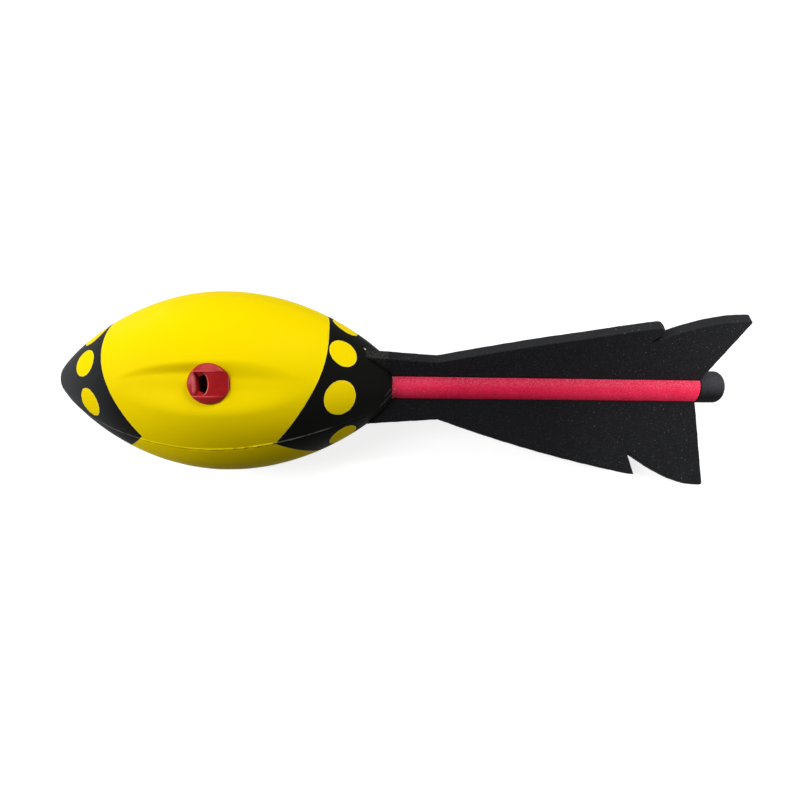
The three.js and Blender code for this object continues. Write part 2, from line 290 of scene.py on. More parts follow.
def spindleRadius(station):
    # end radius plus the rise times (1 - share of the way from the belly, squared) to the power
    # of that end's fullness, less what the foam is tucked in round the stem
    belly = head["bellyStation"]
    towardsNose = station < belly
    endRadius = np.where(towardsNose, head["noseFlat"], head["mouth"])
    fullness = np.where(towardsNose, head["noseFullness"], head["tailFullness"])
    share = (station - belly) / np.where(towardsNose, belly, head["length"] - belly)
    tucked = np.maximum(station - head["tuckStart"], 0) / (head["end"] - head["tuckStart"])
    return (endRadius + (head["radius"] - endRadius) * np.clip(1 - share * share, 0, 1) ** fullness
            - head["tuck"] * tucked ** 2)


def seamAngle(station):  # a polynomial of the share; for an array of stations or a wire
    share = (station - head["bellyStation"]) / (head["length"] / 2)
    angle = share * 0
    for factor in reversed(head["seamDegrees"]):
        angle = angle * share + radians(factor)
    return angle


# The foam head: paint

paint = {
    "yellow": (0.97, 0.733, 0.0003, 1), "yellowDeep": (0.94, 0.70, 0.0003, 1),
    "olive": (0.16, 0.125, 0.004, 1), "rimYellow": (1.0, 0.88, 0.10, 1),
    # the flash colours are a painted highlight on the parting line's ridge, the groove's a painted shadow
    # under it
    "flashHighlightYellow": (1.0, 0.87, 0.008, 1), "grooveShadowOlive": (0.30, 0.21, 0.001, 1),
    # the nose's black is greyer than the tail's, a painted sheen
    "noseSheenBlack": (0.038, 0.0395, 0.041, 1), "tailBlack": (0.0066, 0.0068, 0.0062, 1), "noseSheenFadesOver": (4, 44),
    "blackWorn": (0.075, 0.078, 0.076, 1), "flashHighlightGrey": (0.28, 0.28, 0.26, 1),
    # the slits' grey is painted shade; they have no cut
    "glue": (0.055, 0.052, 0.043, 1), "beadPale": (0.62, 0.6, 0.45, 1), "slitShadeGrey": (0.13, 0.13, 0.12, 1),
    "noseEnd": 26.1, "noseSweep": 17.9, "nosePower": 1.44,
    "tailStart": 123.5, "tailSweep": 22.1, "tailPower": 1.44, "halfAngle": 98.6,
    "lowerTailSweep": 24, "lowerTailPower": 1.9,
    # dots: [angle, station, radius round the axis, radius along it over the surface, raggedness]
    "noseSlope": 1.24, "noseDots": [
        [24.5, 20.2, 6.6, 6.0, 1.2], [69.6, 17.9, 6.1, 6.25, 0.4], [112.8, 19, 6.8, 6.4, 0.4],
        [160, 18.8, 6.3, 6.3, 0.5], [204, 19.3, 6.2, 6.2, 0.6], [246, 19, 6.1, 6.2, 0.5],
        [288, 19.6, 6.2, 6.2, 0.6], [330, 18.8, 5.7, 6.0, 0.6]],
    "tailSlope": 1.15, "tailDots": [
        [36.4, 128.7, 8, 8, 0.35], [79, 129.9, 6.6, 7, 0.35], [123.5, 130.6, 6.8, 6.8, 0.4],
        [163, 129.5, 7.6, 7.6, 0.4], [-13.5, 130, 7.2, 7.2, 0.5], [-56.6, 130.2, 7.2, 7.2, 0.4],
        [-98, 130.2, 7, 7, 0.4], [-141, 129.3, 7.6, 7.6, 0.4]],
    "smear": [143.5, 3.6, 97, 4.6],  # station, half length, angle, half width
    "bead": [139.9, 97.2, 0.55],  # station, angle, radius
    "slits": [[147.1, 5.3, 153.2, 15.0], [149.4, 20.7, 152.8, 33.5]],  # station and angle of both ends
}


def makePaint():
    finish = Finish("paintedFoam", Specular_IOR_Level=0.012)
    mix, noise, place = finish.mix, finish.noise, finish.toyPlace()
    station, across, up = finish.split(place)
    radius = across.hypot(up)
    angle = up.maths("ARCTAN2", across * -1)
    ragged = noise(place, 0.55, 3, 0.6) - 0.5
    broad = noise(place, 0.035, 3, 0.5)
    fine = noise(place, 2.2, 3, 0.6)

    # caps: the boundary's station changes with (1 - cosine of the angle from the half's middle)
    half = radians(paint["halfAngle"])
    cosine = (across * -cos(half) + up * sin(half)) / radius
    lower = cosine.maths("LESS_THAN", 0)
    spread = (1 - abs(cosine)).maths("MAXIMUM", 0)
    noseEdge = paint["noseEnd"] + paint["noseSweep"] * spread ** paint["nosePower"]
    sweep = paint["tailSweep"] + lower * (paint["lowerTailSweep"] - paint["tailSweep"])
    power = paint["tailPower"] + lower * (paint["lowerTailPower"] - paint["tailPower"])
    tailEdge = paint["tailStart"] - sweep * spread ** power
    intoNose = noseEdge - station + ragged * 0.35
    intoTail = station - tailEdge + ragged * 0.3
    intoCap = intoNose.maths("MAXIMUM", intoTail)

    # dots: how far inside the nearest one's rim, over the surface
    def intoDots(dots, slope):
        nearest = None
        for middle, dotStation, roundSize, alongSize, rough in dots:
            turned = (angle - radians(middle)).maths("WRAP", pi, -pi) * radius / roundSize
            along = (station - dotStation) * (slope / alongSize)
            inside = (1 - along.hypot(turned)) * roundSize + ragged * rough
            nearest = inside if nearest is None else nearest.maths("MAXIMUM", inside)
        return nearest

    intoDot = intoDots(paint["noseDots"], paint["noseSlope"]).maths(
        "MAXIMUM", intoDots(paint["tailDots"], paint["tailSlope"]))

    intoBlack = intoCap.maths("MINIMUM", intoDot * -1)
    black = intoBlack.step(-0.07, 0.07)
    rim = intoBlack.step(-0.6, -0.12)
    haze = intoCap.step(-1.1, 0.1) * (1 - intoDot.step(0, 0.8))
    haze = haze * noise(place, 0.12, 2).step(0.45, 0.7)

    # parting lines: distance from the nearer one, over the surface; the groove lies under the ridge
    out = (angle - seamAngle(station)).maths("WRAP", pi / 2, -pi / 2) * radius
    wander = noise(place, 0.3, 3, 0.6)
    ends = station.step(3, 12) * (1 - station.step(119, 127))
    flashHighlight = (1 - abs(out).step(0.22, 0.55)) * (wander.step(0.3, 0.5) * 0.6 + 0.4) * ends
    for chip in head["chips"]:
        flashHighlight = flashHighlight * abs(station - chip).step(0.5, 1.2)
    groove = (1 - abs(out + head["grooveAway"]).step(0.25, 0.6)) * wander.step(0.35, 0.55) * ends

    yellow = mix(broad.step(0.35, 0.65) * 0.4, paint["yellow"], paint["yellowDeep"])
    yellow = mix(haze * 0.35, yellow, paint["olive"])
    yellow = mix(rim * 0.45, yellow, paint["rimYellow"])
    # painted highlight along the flash's ridge and painted shadow in the groove under it
    yellow = mix(flashHighlight * 0.85, yellow, paint["flashHighlightYellow"])
    yellow = mix(groove * 0.4, yellow, paint["grooveShadowOlive"])
    # the black is greyer towards the nose, a painted sheen, and darker on the lower half, a painted shade
    dark = mix(station.step(*paint["noseSheenFadesOver"]).maths("MAXIMUM", lower * 0.55),
               paint["noseSheenBlack"], paint["tailBlack"])
    dark = mix(fine.step(0.55, 0.85) * 0.06, dark, paint["blackWorn"])
    # the same painted highlight on the flash where it crosses the black
    dark = mix(flashHighlight * 0.38, dark, paint["flashHighlightGrey"])
    colour = mix(black, yellow, dark)

    # glue smeared where the upper fin is stuck on
    smearStation, halfLength, smearAngle, halfWidth = paint["smear"]
    across = (angle - radians(smearAngle)) * radius / halfWidth
    frayed = (noise(place, 0.5, 4, 0.7) - 0.5) * 2.4
    smear = 1 - (across * across + ((station - smearStation) / halfLength) ** 2 + frayed).step(0.55, 1.0)
    smear = smear * station.step(138, 141)
    mottle = noise(place, 1.6, 4, 0.75).step(0.42, 0.62)
    colour = mix(smear * mottle * 0.7, colour, paint["glue"])

    # a bead of glue, and two short slits beside the stem's mouth, drawn only as lines of painted shade
    beadStation, beadAngle, beadSize = paint["bead"]
    fromBead = ((angle - radians(beadAngle)) * radius).hypot(station - beadStation)
    colour = mix(1 - fromBead.step(beadSize * 0.6, beadSize * 1.3), colour, paint["beadPale"])
    for start, startAngle, end, endAngle in paint["slits"]:
        turnEach = radians(endAngle - startAngle) / (end - start)
        middle = (station - start) * turnEach + radians(startAngle)
        line = 1 - (abs(angle - middle) * radius).step(0.08, 0.27)
        line = line * station.step(start - 0.4, start + 1.5) * (1 - station.step(end - 0.3, end + 0.3))
        colour = mix(line * 0.8, colour, paint["slitShadeGrey"])

    skin = noise(place, 0.9, 3, 0.55) * 0.6 + fine * 0.25
    pits = finish.cells(place, 0.45).step(0.06, 0.16)
    height = skin + pits * 0.3 + black * 0.25 + smear * noise(place, 1.1, 3, 0.7) * 1.5
    roughness = 0.5 + (broad - 0.5) * 0.1 + (fine - 0.5) * 0.12 + black * 0.05 + smear * 0.2
    finish.feed(Base_Color=colour, Roughness=roughness, Normal=finish.bump(height, 0.05, 0.5))
    return finish


# The foam head: shape

def headColumns():
    # angles round the axis, closer together at the parting lines and in the hollows
    fine = np.linspace(0, 360, 7200, endpoint=False)
    seamAt = head["seamDegrees"][0]
    seam = np.minimum(abs(fine - seamAt), abs(fine - seamAt - 180))
    away = np.min([np.degrees(abs(wrapped(np.radians(fine) - angle))) for angle in whistleAngles], axis=0)
    gap = np.where(away < head["hollowBand"], head["hollowColumnGap"], head["columnGap"])
    gap = np.where(seam < head["seamBand"], head["seamColumnGap"], gap)
    count = np.cumsum(1 / gap)
    total = int(round(count[-1] * 360 / len(fine)))
    return np.radians(np.interp(np.arange(total) / total * count[-1], count, fine))


def headRelief(station, angle):
    # how far the surface stands out of the spindle: three boat-shaped hollows, a dent, a broad
    # unevenness and a thin ridge and groove at each parting line, all fading out at the two ends
    radius = spindleRadius(station)
    relief = head["unevenness"] * ripple(station / 9 + 3 * np.cos(angle), 1.3) * np.cos(3 * angle + 1)
    taper = np.clip(1 - ((station - hollow["station"]) / hollow["halfLength"]) ** 2, 1e-6, 1)
    turned = smoothStep(*hollow["turnsAt"], station)
    upperWidth, upperFlat = (low + (high - low) * turned
                             for low, high in (hollow["upperWidth"], hollow["upperFlat"]))
    for whistleAngle in whistleAngles:
        away = wrapped(angle - whistleAngle) * radius
        upper = smoothStep(-2, 2, away)
        width = hollow["lowerWidth"] * taper ** 0.5 * (1 - upper) + upperWidth * taper ** 0.7 * upper
        flat = hollow["lowerFlat"] * (1 - upper) + upperFlat * upper
        relief -= hollow["depth"] * taper ** 1.8 * (1 - smoothStep(flat, 1, abs(away) / width))
    fromDent = np.hypot(station - head["dentStation"],
                        wrapped(angle - radians(head["dentAngle"])) * radius)
    relief -= head["dentDepth"] * np.exp(-(fromDent / head["dentWidth"]) ** 2)
    for turn in (0, pi):
        wander = head["flashWander"] * ripple(station / 3.1, 2.2 + turn)
        chipped = 1 - sum(0.9 * np.exp(-((station - chip - turn) / 0.8) ** 2) for chip in head["chips"])
        trimmed = 0.8 + 0.3 * ripple(station * 1.3, 0.4 + turn)
        away = wrapped(angle - seamAngle(station) - turn) * radius - wander
        ridge = head["flashHeight"] * trimmed * chipped * np.exp(-(away / head["flashWidth"]) ** 2)
        groove = head["grooveDepth"] * np.exp(-((away + head["grooveAway"]) / head["grooveWidth"]) ** 2)
        relief += (ridge - groove) * (0.55 + 0.45 * smoothStep(55, 75, station))
    return relief * smoothStep(0.8, 6, station) * smoothStep(0.2, 4, head["end"] - station)


def headProfile():
    # [station, radius, 1 on the spindle] from the axis at the nose, over the surface, into the bore
    flatTo, joinedAt = head["noseFlat"] - head["noseRound"], head["noseRound"] * 0.8
    nose = bezier([0, flatTo], [0, head["noseFlat"]], [joinedAt, spindleRadius(joinedAt)], 6)
    flat = nose[0] * [[0, 0], [1, 0.35], [1, 0.7], [1, 0.9]]
    even = np.linspace(joinedAt, head["end"], 4000)
    gap = np.full_like(even, head["ringGap"])
    for start, end in head["fineRings"]:
        gap[(even > start) & (even < end)] = head["fineRingGap"]
    count = np.cumsum(np.hypot(np.gradient(even), np.gradient(spindleRadius(even))) / gap)
    side = np.interp(np.arange(1, int(count[-1])), count, even)
    side = np.append(side, even[-1])
    end, last = head["end"], spindleRadius(even[-1])
    mouth = [[end + 0.1, last - 0.1], [end + 0.1, head["bore"] + 0.1], [end, head["bore"]]]
    boreEnd = head["length"] - head["boreDepth"]
    bore = [[end - 4, head["bore"]], [boreEnd, head["bore"]], [boreEnd, head["bore"] / 2], [boreEnd, 0]]
    parts = [(flat, 0), (nose, 0), (np.c_[side, spindleRadius(side)], 1), (mouth, 0), (bore, 0)]
    return np.concatenate([np.c_[points, np.full(len(points), flag)] for points, flag in parts])


def makeHead(finish):
    # the profile turned round the axis, each of its points turned on with the parting line
    station, radius, onSpindle = headProfile().T[:, :, None]
    columns = headColumns()
    angle = columns[None, :] + seamAngle(station) - radians(head["seamDegrees"][0])
    relief = headRelief(station + 0 * angle, angle) * onSpindle
    points = aboutAxis(station + 0 * angle, radius + relief, angle)
    piece = makeMesh("head", points.reshape(-1, 3), gridFaces(*points.shape[:2]).tolist(), finish)
    cutSockets(piece)
    return piece


socket = {"radius": 8.6, "floor": 25.2, "top": 47.5, "sides": 160}


def cutSockets(piece):
    # a plain round rod cuts each whistle's socket
    cutters = []
    first = np.arange(socket["sides"])
    turn = first * fullTurn / socket["sides"]
    station = hollow["station"] + socket["radius"] * np.cos(turn)
    aside = socket["radius"] * np.sin(turn)
    faces = gridFaces(2, socket["sides"]).tolist() + [first.tolist(), (first + socket["sides"]).tolist()]
    for number, whistleAngle in enumerate(whistleAngles):
        points = np.concatenate([aboutAxis(station, reach + 0 * turn, whistleAngle, aside)
                                 for reach in (socket["floor"], socket["top"])])
        cutter = makeMesh(f"socketCutter{number}", points, faces)
        cutters.append(cutter)
        modifier = piece.modifiers.new(cutter.name, "BOOLEAN")
        modifier.operation, modifier.solver, modifier.object = "DIFFERENCE", "MANIFOLD", cutter
    before = len(piece.data.polygons)
    whole = piece.evaluated_get(bpy.context.evaluated_depsgraph_get())
    cut = bpy.data.meshes.new_from_object(whole)
    piece.modifiers.clear()
    piece.data = cut
    shadeSmooth(cut)
    print("sockets cut", before, "->", len(cut.polygons), "faces")
    for cutter in cutters:
        bpy.data.objects.remove(cutter)


# Whistles: a glossy plastic cap, drawn with its seat on z = 0 and the line of flight along x

whistle = {
    "radius": 8.5, "seat": 39.3, "sideHeight": 1.5, "domeRise": 2.6,
    "channelHalf": 5.0, "channelDepth": 1.0, "channelEdge": 0.4, "channelStart": -5.8,
    "windowHalf": 4.6, "windowFront": -5.3, "lipEnds": -2.2, "lipBulge": 2.3, "lipPower": 0.55,
    "lipLand": 0.5, "lipSlope": 1.6, "rampFoot": -3.9, "rampDrop": 0.4, "edgeRound": 0.28,
    "frontNarrowing": 0.62, "lipNarrowing": 0.96,  # the underside's share of the window's width
    "innerRadius": 5.7, "ceiling": 1.9, "spigotRadius": 6.9, "spigotLength": 2.5, "spigotSides": 72,
}


def capLines():
    # the grid's lines: distances across, and shares of the way along its three stretches
    r, w = whistle["radius"], whistle["windowHalf"]
    outer = r * np.sin(np.linspace(asin((w + 0.55) / r), radians(88.5), 16))
    edge = w + np.array([0, 0.05, 0.12, 0.2, 0.28, 0.36, 0.45])
    inner = w * np.array([0, 0.12, 0.25, 0.38, 0.5, 0.61, 0.71, 0.8, 0.87, 0.92, 0.955, 0.975, 0.99])
    half = np.concatenate([inner, edge, outer])
    across = np.concatenate([-half[:0:-1], half])
    front = np.array([0, 0.01, 0.04, 0.09, 0.16, 0.25, 0.36, 0.48, 0.6, 0.71, 0.8, 0.87, 0.92, 0.96,
                      0.985, 1])
    middle = np.linspace(0, 1, 15)
    tail = np.array([0, 0.006, 0.014, 0.03, 0.055, 0.09, 0.135, 0.19, 0.25, 0.31, 0.38, 0.45, 0.52, 0.59,
                     0.66, 0.73, 0.79, 0.845, 0.89, 0.93, 0.96, 0.982, 0.995, 1])
    return across, front, middle, tail


def lipAt(y):
    # where the window's curved edge runs: its ends, plus its bulge times a power of
    # (1 - share across, squared)
    share = np.clip(1 - (y / whistle["windowHalf"]) ** 2, 0, 1)
    return whistle["lipEnds"] + whistle["lipBulge"] * share ** whistle["lipPower"]


def capAlong(across, front, middle, tail, windowStart, lipShift):
    # every row runs from rim to rim through the window's two ends; beyond the window's sides the
    # ends keep their share of the row's length
    r, w = whistle["radius"], whistle["windowHalf"]
    chord = np.sqrt(r * r - across ** 2)
    inWindow = abs(across) <= w + 1e-6
    sideChord = sqrt(r * r - w * w)
    start = np.where(inWindow, windowStart, chord * windowStart / sideChord)
    end = np.where(inWindow, lipAt(across) + lipShift, chord * (whistle["lipEnds"] + lipShift) / sideChord)
    start, end, chord = start[:, None], end[:, None], chord[:, None]
    return np.concatenate([-chord + (start + chord) * front, (start + (end - start) * middle)[:, 1:-1],
                           end + (chord - end) * tail], axis=1)


def capTop(x, y):
    # an ellipsoid dome; in the channel it is lowered to a floor that is level from side to side;
    # the window's edge is rounded
    r, rise, side = whistle["radius"], whistle["domeRise"], whistle["sideHeight"]
    dome = side + rise * np.sqrt(np.clip(1 - (x * x + y * y) / r ** 2, 0, 1))
    floor = side - whistle["channelDepth"] + rise * np.sqrt(np.clip(1 - x * x / r ** 2, 0, 1))
    lowered = (dome - floor + np.sqrt((dome - floor) ** 2 + 0.01)) / 2
    lowered = lowered * smoothStep(whistle["channelStart"], whistle["windowFront"], x)
    half, soft = whistle["channelHalf"], whistle["channelEdge"] / 2
    outside = smoothStep(half - soft, half + soft, abs(y))
    beyond = np.maximum(np.maximum(whistle["windowFront"] - x, x - lipAt(y)), 0)
    fromWindow = np.hypot(beyond, np.maximum(abs(y) - whistle["windowHalf"], 0))
    size = whistle["edgeRound"]
    drop = size - np.sqrt(size ** 2 - np.maximum(size - fromWindow, 0) ** 2)
    return dome - lowered * (1 - outside) - drop


def capUnder(x, y):
    # an ellipsoid hollow, with the ramp hanging in front of the window and at its two sides
    inner = whistle["innerRadius"]
    hollowed = whistle["ceiling"] * np.sqrt(np.clip(1 - (x * x + y * y) / inner ** 2, 0, 1))
    low = whistle["windowHalf"] * whistle["frontNarrowing"]
    ramp = smoothStep(whistle["rampFoot"] - 1.8, whistle["rampFoot"], x) * (x <= whistle["rampFoot"] + 1e-6)
    ramp = ramp * (1 - smoothStep(low - 0.1, low + 0.5, abs(y)))
    return hollowed * (1 - ramp) + whistle["rampDrop"] * ramp


def edgeLoop(rowFrom, rowTo, columnFrom, columnTo):  # the border of a block of the grid, as index pairs
    rows, columns = np.arange(rowFrom, rowTo), np.arange(columnFrom, columnTo)
    sides = [(rowFrom + 0 * columns, columns), (rows, columnTo + 0 * rows),
             (rowTo + 0 * columns, columns[::-1] + 1), (rows[::-1] + 1, columnFrom + 0 * rows)]
    return tuple(np.concatenate(sides, axis=1))


def makeWhistleCap(name, whistleAngle, finish):
    # two sheets of one grid, the top and the underside, joined by the window's wall and the rim
    across, front, middle, tail = capLines()
    topX = capAlong(across, front, middle, tail, whistle["windowFront"], 0)
    underX = capAlong(across, front, middle, tail, whistle["rampFoot"], whistle["lipSlope"])
    y = across[:, None] + 0 * topX
    top = np.stack([topX, y, capTop(topX, y)], axis=-1)
    w, r, inner = whistle["windowHalf"], whistle["radius"], whistle["innerRadius"]
    rows, columns = y.shape
    rowFrom, rowTo = np.flatnonzero(abs(across) <= w + 1e-6)[[0, -1]]
    columnFrom, columnTo = len(front) - 1, len(front) + len(middle) - 2
    narrowing = np.interp(np.arange(columns), [columnFrom, columnTo],
                          [whistle["frontNarrowing"], whistle["lipNarrowing"]])
    underY = np.sign(y) * (np.minimum(abs(y), w) * narrowing
                           + np.maximum(abs(y) - w, 0) * (r - w * narrowing) / (r - w))
    under = np.stack([underX, underY, capUnder(underX, underY)], axis=-1)

    block = gridFaces(rows, columns, closedColumns=False)
    row, column = block[:, 0] // columns, block[:, 0] % columns
    solid = ~((row >= rowFrom) & (row < rowTo) & (column >= columnFrom) & (column < columnTo))
    faces = block[solid].tolist() + (block[solid][:, ::-1] + rows * columns).tolist()
    points = [top.reshape(-1, 3), under.reshape(-1, 3)]

    def addRings(rings, closed=False):  # a band of faces over rings of points
        start = sum(len(part) for part in points)
        points.append(rings.reshape(-1, 3))
        faces.extend(gridFaces(*rings.shape[:2], start, closedRows=closed).tolist())

    window = edgeLoop(rowFrom, rowTo, columnFrom, columnTo)
    land = top[window] - [0, 0, whistle["lipLand"]]
    addRings(np.stack([top[window], land, land * 0.55 + under[window] * 0.45, under[window]]))
    rim = edgeLoop(0, rows - 1, 0, columns - 1)
    addRings(np.stack([top[rim], top[rim] * [1, 1, 0.55], top[rim] * [1, 1, 0.1], under[rim]]))

    # the spigot below the seat, a short tube
    turn = np.linspace(0, fullTurn, whistle["spigotSides"], endpoint=False)
    outer, foot = whistle["spigotRadius"], -whistle["spigotLength"]
    reach, height = np.array([[outer, 0.25], [outer, foot], [inner, foot], [inner, 0.25]]).T[:, :, None]
    spigot = np.stack([reach * np.cos(turn), reach * np.sin(turn), height + 0 * turn], axis=-1)
    addRings(spigot, closed=True)

    x, y, z = np.concatenate(points).T
    placed = aboutAxis(x + hollow["station"], z + whistle["seat"], whistleAngle, y)
    # painted highlights: paler along the lip and the channel, before the window and on top
    windowFront, channel = whistle["windowFront"], whistle["channelHalf"]
    fromLip = np.where(abs(y) < w, abs(x - lipAt(y) - 0.1), 9)
    fromChannel = np.where(x > windowFront - 1.5, abs(abs(y) - channel - 0.12), 9)
    before = np.where(abs(y) < w, windowFront - x, 9)
    highlight = np.max([np.exp(-(fromLip / 0.24) ** 2),
                   0.6 * np.exp(-(fromChannel / 0.16) ** 2) * smoothStep(5.5, 0.5, x),
                   smoothStep(1.25, 0, abs(before)) * smoothStep(4.8, 2.2, abs(y)) * (before > -0.05),
                   0.26 * smoothStep(6, 1, np.hypot(x - 0.5, y - 6.6)) * (y > channel)], axis=0)
    highlight = highlight * smoothStep(1.2, 2.0, z)
    return makeMesh(name, placed, faces, finish, {"paintedHighlight": highlight}, smoothAngle=50)


plastics = {
    "redPlastic": {"colour": (0.42, 0.008, 0.011, 1), "deep": (0.35, 0.006, 0.008, 1), "roughness": 0.26,
                   # the edge colour is for painted highlights
                   "edge": (1.0, 0.23, 0.24, 1)},
    "cupPlastic": {"colour": (0.36, 0.008, 0.018, 1), "deep": (0.28, 0.005, 0.012, 1), "roughness": 0.35},
    "corePlastic": {"colour": (0.7, 0.68, 0.62, 1), "deep": (0.62, 0.6, 0.54, 1), "roughness": 0.45},
}


def makePlastic(name):
    # glossy moulded plastic, a little cloudy, with fine flow marks and scuffs
    look = plastics[name]
    finish = Finish(name, Specular_IOR_Level=0.14)
    place = finish.toyPlace()
    cloud = finish.noise(place, 0.35, 3, 0.55)
    scuff = finish.noise(finish.scaled(place, (0.6, 2.0, 2.0)), 2.4, 4, 0.65)
    base = finish.mix(cloud.step(0.35, 0.65), look["colour"], look["deep"])
    if "edge" in look:
        # mixed towards the edge colour where the mesh marks a painted highlight
        base = finish.mix(finish.mark("paintedHighlight") * 0.75, base, look["edge"])
    finish.feed(Base_Color=base, Roughness=look["roughness"] + (scuff - 0.5) * 0.22,
                Normal=finish.bump(cloud * 0.7 + scuff * 0.3, 0.10, 0.6))
    return finish


# The stem and its black end, tubes of cut foam

stem = {
    "radius": 8.25, "start": 130, "end": 310.7, "endRound": 0.35, "core": 3.25, "unevenness": 0.07,
    "columns": 112, "ringGap": 0.9, "tipUnevenness": 0.05, "evenWithin": 6.5,
    "tipFace": 311, "toyEnd": 325, "tipRound": 2.8, "tipBore": 319,
}


def lathe(name, profile, finish, unevenness, seed, closed=True):
    # a profile of [station, radius] turned round the axis, a little out of true; one that isn't
    # closed starts and ends on the axis
    station, radius = np.array(profile).T[:, :, None]
    angle = np.linspace(0, fullTurn, stem["columns"], endpoint=False)[None, :]
    uneven = unevenness * (ripple(station / 6, seed) * np.cos(2 * angle + seed)
                           + 0.6 * ripple(station / 2.2 + 2 * np.sin(angle), seed + 1))
    radius = radius + uneven * (radius > stem["evenWithin"])
    points = aboutAxis(station + 0 * angle, radius, angle)
    faces = gridFaces(len(profile), stem["columns"], closedRows=closed).tolist()
    return makeMesh(name, points.reshape(-1, 3), faces, finish)


def makeStem(finish):  # a tube with its far end's edge rounded
    r, rounding, start, end = stem["radius"], stem["endRound"], stem["start"], stem["end"]
    side = np.arange(start + rounding, end - rounding, stem["ringGap"])
    outer = [[station, r] for station in side] + [[end - rounding, r]]
    rounded = [[end - 0.3 * rounding, r - 0.3 * rounding], [end, r - rounding]]
    inner = [[end, stem["core"]], [start, stem["core"]], [start, r - rounding]]
    return lathe("stem", outer + rounded + inner, finish, stem["unevenness"], 0.7)


def makeTip(finish):  # a plug with a quarter-round edge and a bore for the core
    r, size, face, end = stem["radius"], stem["tipRound"], stem["tipFace"], stem["toyEnd"]
    quarter = np.linspace(0, pi / 2, 10)
    edge = np.stack([end - size + size * np.sin(quarter), r - size + size * np.cos(quarter)], axis=1)
    bore = [[stem["tipBore"], 0], [stem["tipBore"], stem["core"]], [face, stem["core"]], [face, r - 0.3]]
    side = [[station, r] for station in np.linspace(face + 0.3, end - size - 0.5, 16)]
    profile = np.concatenate([bore, side, edge, [[end, 3.2], [end, 1.2], [end, 0]]])
    return lathe("stemEnd", profile, finish, stem["tipUnevenness"], 3.1, closed=False)


# The fins: flat plates of cut foam

fin = {
    "thickness": 5, "root": 8.4, "mouth": 153.42, "trail": 310.7, "tipCorner": 1.2,
    "edgeRound": 0.45, "slant": 0.18, "shares": 40, "wave": 0.35, "ragged": 0.10,
    # points on the outer edge's six stretches, and the stations at the root that face their ends
    "counts": (24, 60, 9, 8, 14, 50), "rootMarks": (153.42, 178, 240, 251, 254.5, 261, 310.7),
}
cutNames = ("angle", "shoulder", "swell", "corner", "waist", "feather", "foot", "notch", "crest", "tip")
fins = [dict(zip(cutNames, cut)) for cut in (  # cut by hand, so each outline differs a little
    (90, 21.3, 0.9, 2.4,
     (174.2, 18.5), (273.5, 44.9), (276.3, 41.9), (272.3, 34.7), (296, 51), (314.1, 49.7)),
    (210, 20.7, 1.5, 1.3,
     (175.5, 18.3), (274.5, 44.9), (275.8, 40.1), (272.6, 34.6), (295.8, 50.5), (312.2, 49.9)),
    (330, 20.3, 2, 0.5,
     (176.9, 18.1), (275.5, 45.4), (273.9, 39.7), (272.4, 33.6), (295.2, 50.9), (311.3, 50.6)),
)]


def towards(start, end, distance):  # the point that far along the line between two points
    return start + (end - start) * distance / np.linalg.norm(end - start)


def stationOfRadius(radius):  # where the head's tail end has that radius
    stations = np.linspace(head["bellyStation"], head["end"], 4000)
    return np.interp(-radius, -spindleRadius(stations), stations)


def clearOfHead(station, angle, gap=0.02):  # points just off the head's surface, square to it
    radius = spindleRadius(station) + headRelief(station, angle + 0 * station)
    rise = np.gradient(radius, station)
    length = np.hypot(rise, 1)
    return np.stack([station - gap * rise / length, radius + gap / length], axis=1)


def finSides(cut):
    # the outline's four sides as [station, reach] points: the root and the outer edge, which have
    # as many points as each other, and the front and trailing edges
    front = clearOfHead(np.linspace(head["end"], stationOfRadius(cut["shoulder"]), fin["shares"]),
                        radians(cut["angle"]))
    front[0] = [fin["mouth"], fin["root"]]
    waist, feather, foot, notch, crest, tip = np.array([cut[name] for name in cutNames[4:]])
    swell = (waist + feather) / 2 + [0, 2 * cut["swell"]]
    trailRoot = np.array([fin["trail"], fin["root"]])
    ends = [front[-1], waist, towards(feather, swell, cut["corner"]), towards(feather, foot, cut["corner"]),
            foot, notch, towards(tip, crest, fin["tipCorner"])]
    bends = {1: swell, 2: feather, 5: crest}  # the other stretches are straight
    outer, rootAt, marks = [], [], fin["rootMarks"]
    for i, count in enumerate(fin["counts"]):
        middle = bends.get(i, (ends[i] + ends[i + 1]) / 2)
        outer.extend(bezier(ends[i], middle, ends[i + 1], count)[:-1])
        rootAt.extend(np.linspace(marks[i], marks[i + 1], count)[:-1])
    outer, rootAt = np.array(outer + ends[-1:]), np.array(rootAt + [fin["trail"]])
    root = np.stack([rootAt, np.full_like(rootAt, fin["root"])], axis=1)
    trail = bezier(ends[-1], tip, towards(tip, trailRoot, fin["tipCorner"]), 8)
    trail = np.concatenate([trail, np.linspace(trail[-1], trailRoot, fin["shares"] - 7)[1:]])
    return root, trail[::-1], outer, front


def unit(vectors):  # each one over its own length
    return vectors / np.maximum(np.linalg.norm(vectors, axis=1, keepdims=True), 1e-9)


def inset(loop, distance):
    # every point of a closed outline moved square to it, to the left of its direction
    ahead = unit(np.roll(loop, -1, axis=0) - loop)
    normal = np.stack([-ahead[:, 1], ahead[:, 0]], axis=1)
    middle = unit(normal + np.roll(normal, 1, axis=0))
    spread = np.clip((middle * normal).sum(axis=1, keepdims=True), 0.5, 1)
    return loop + middle * distance / spread


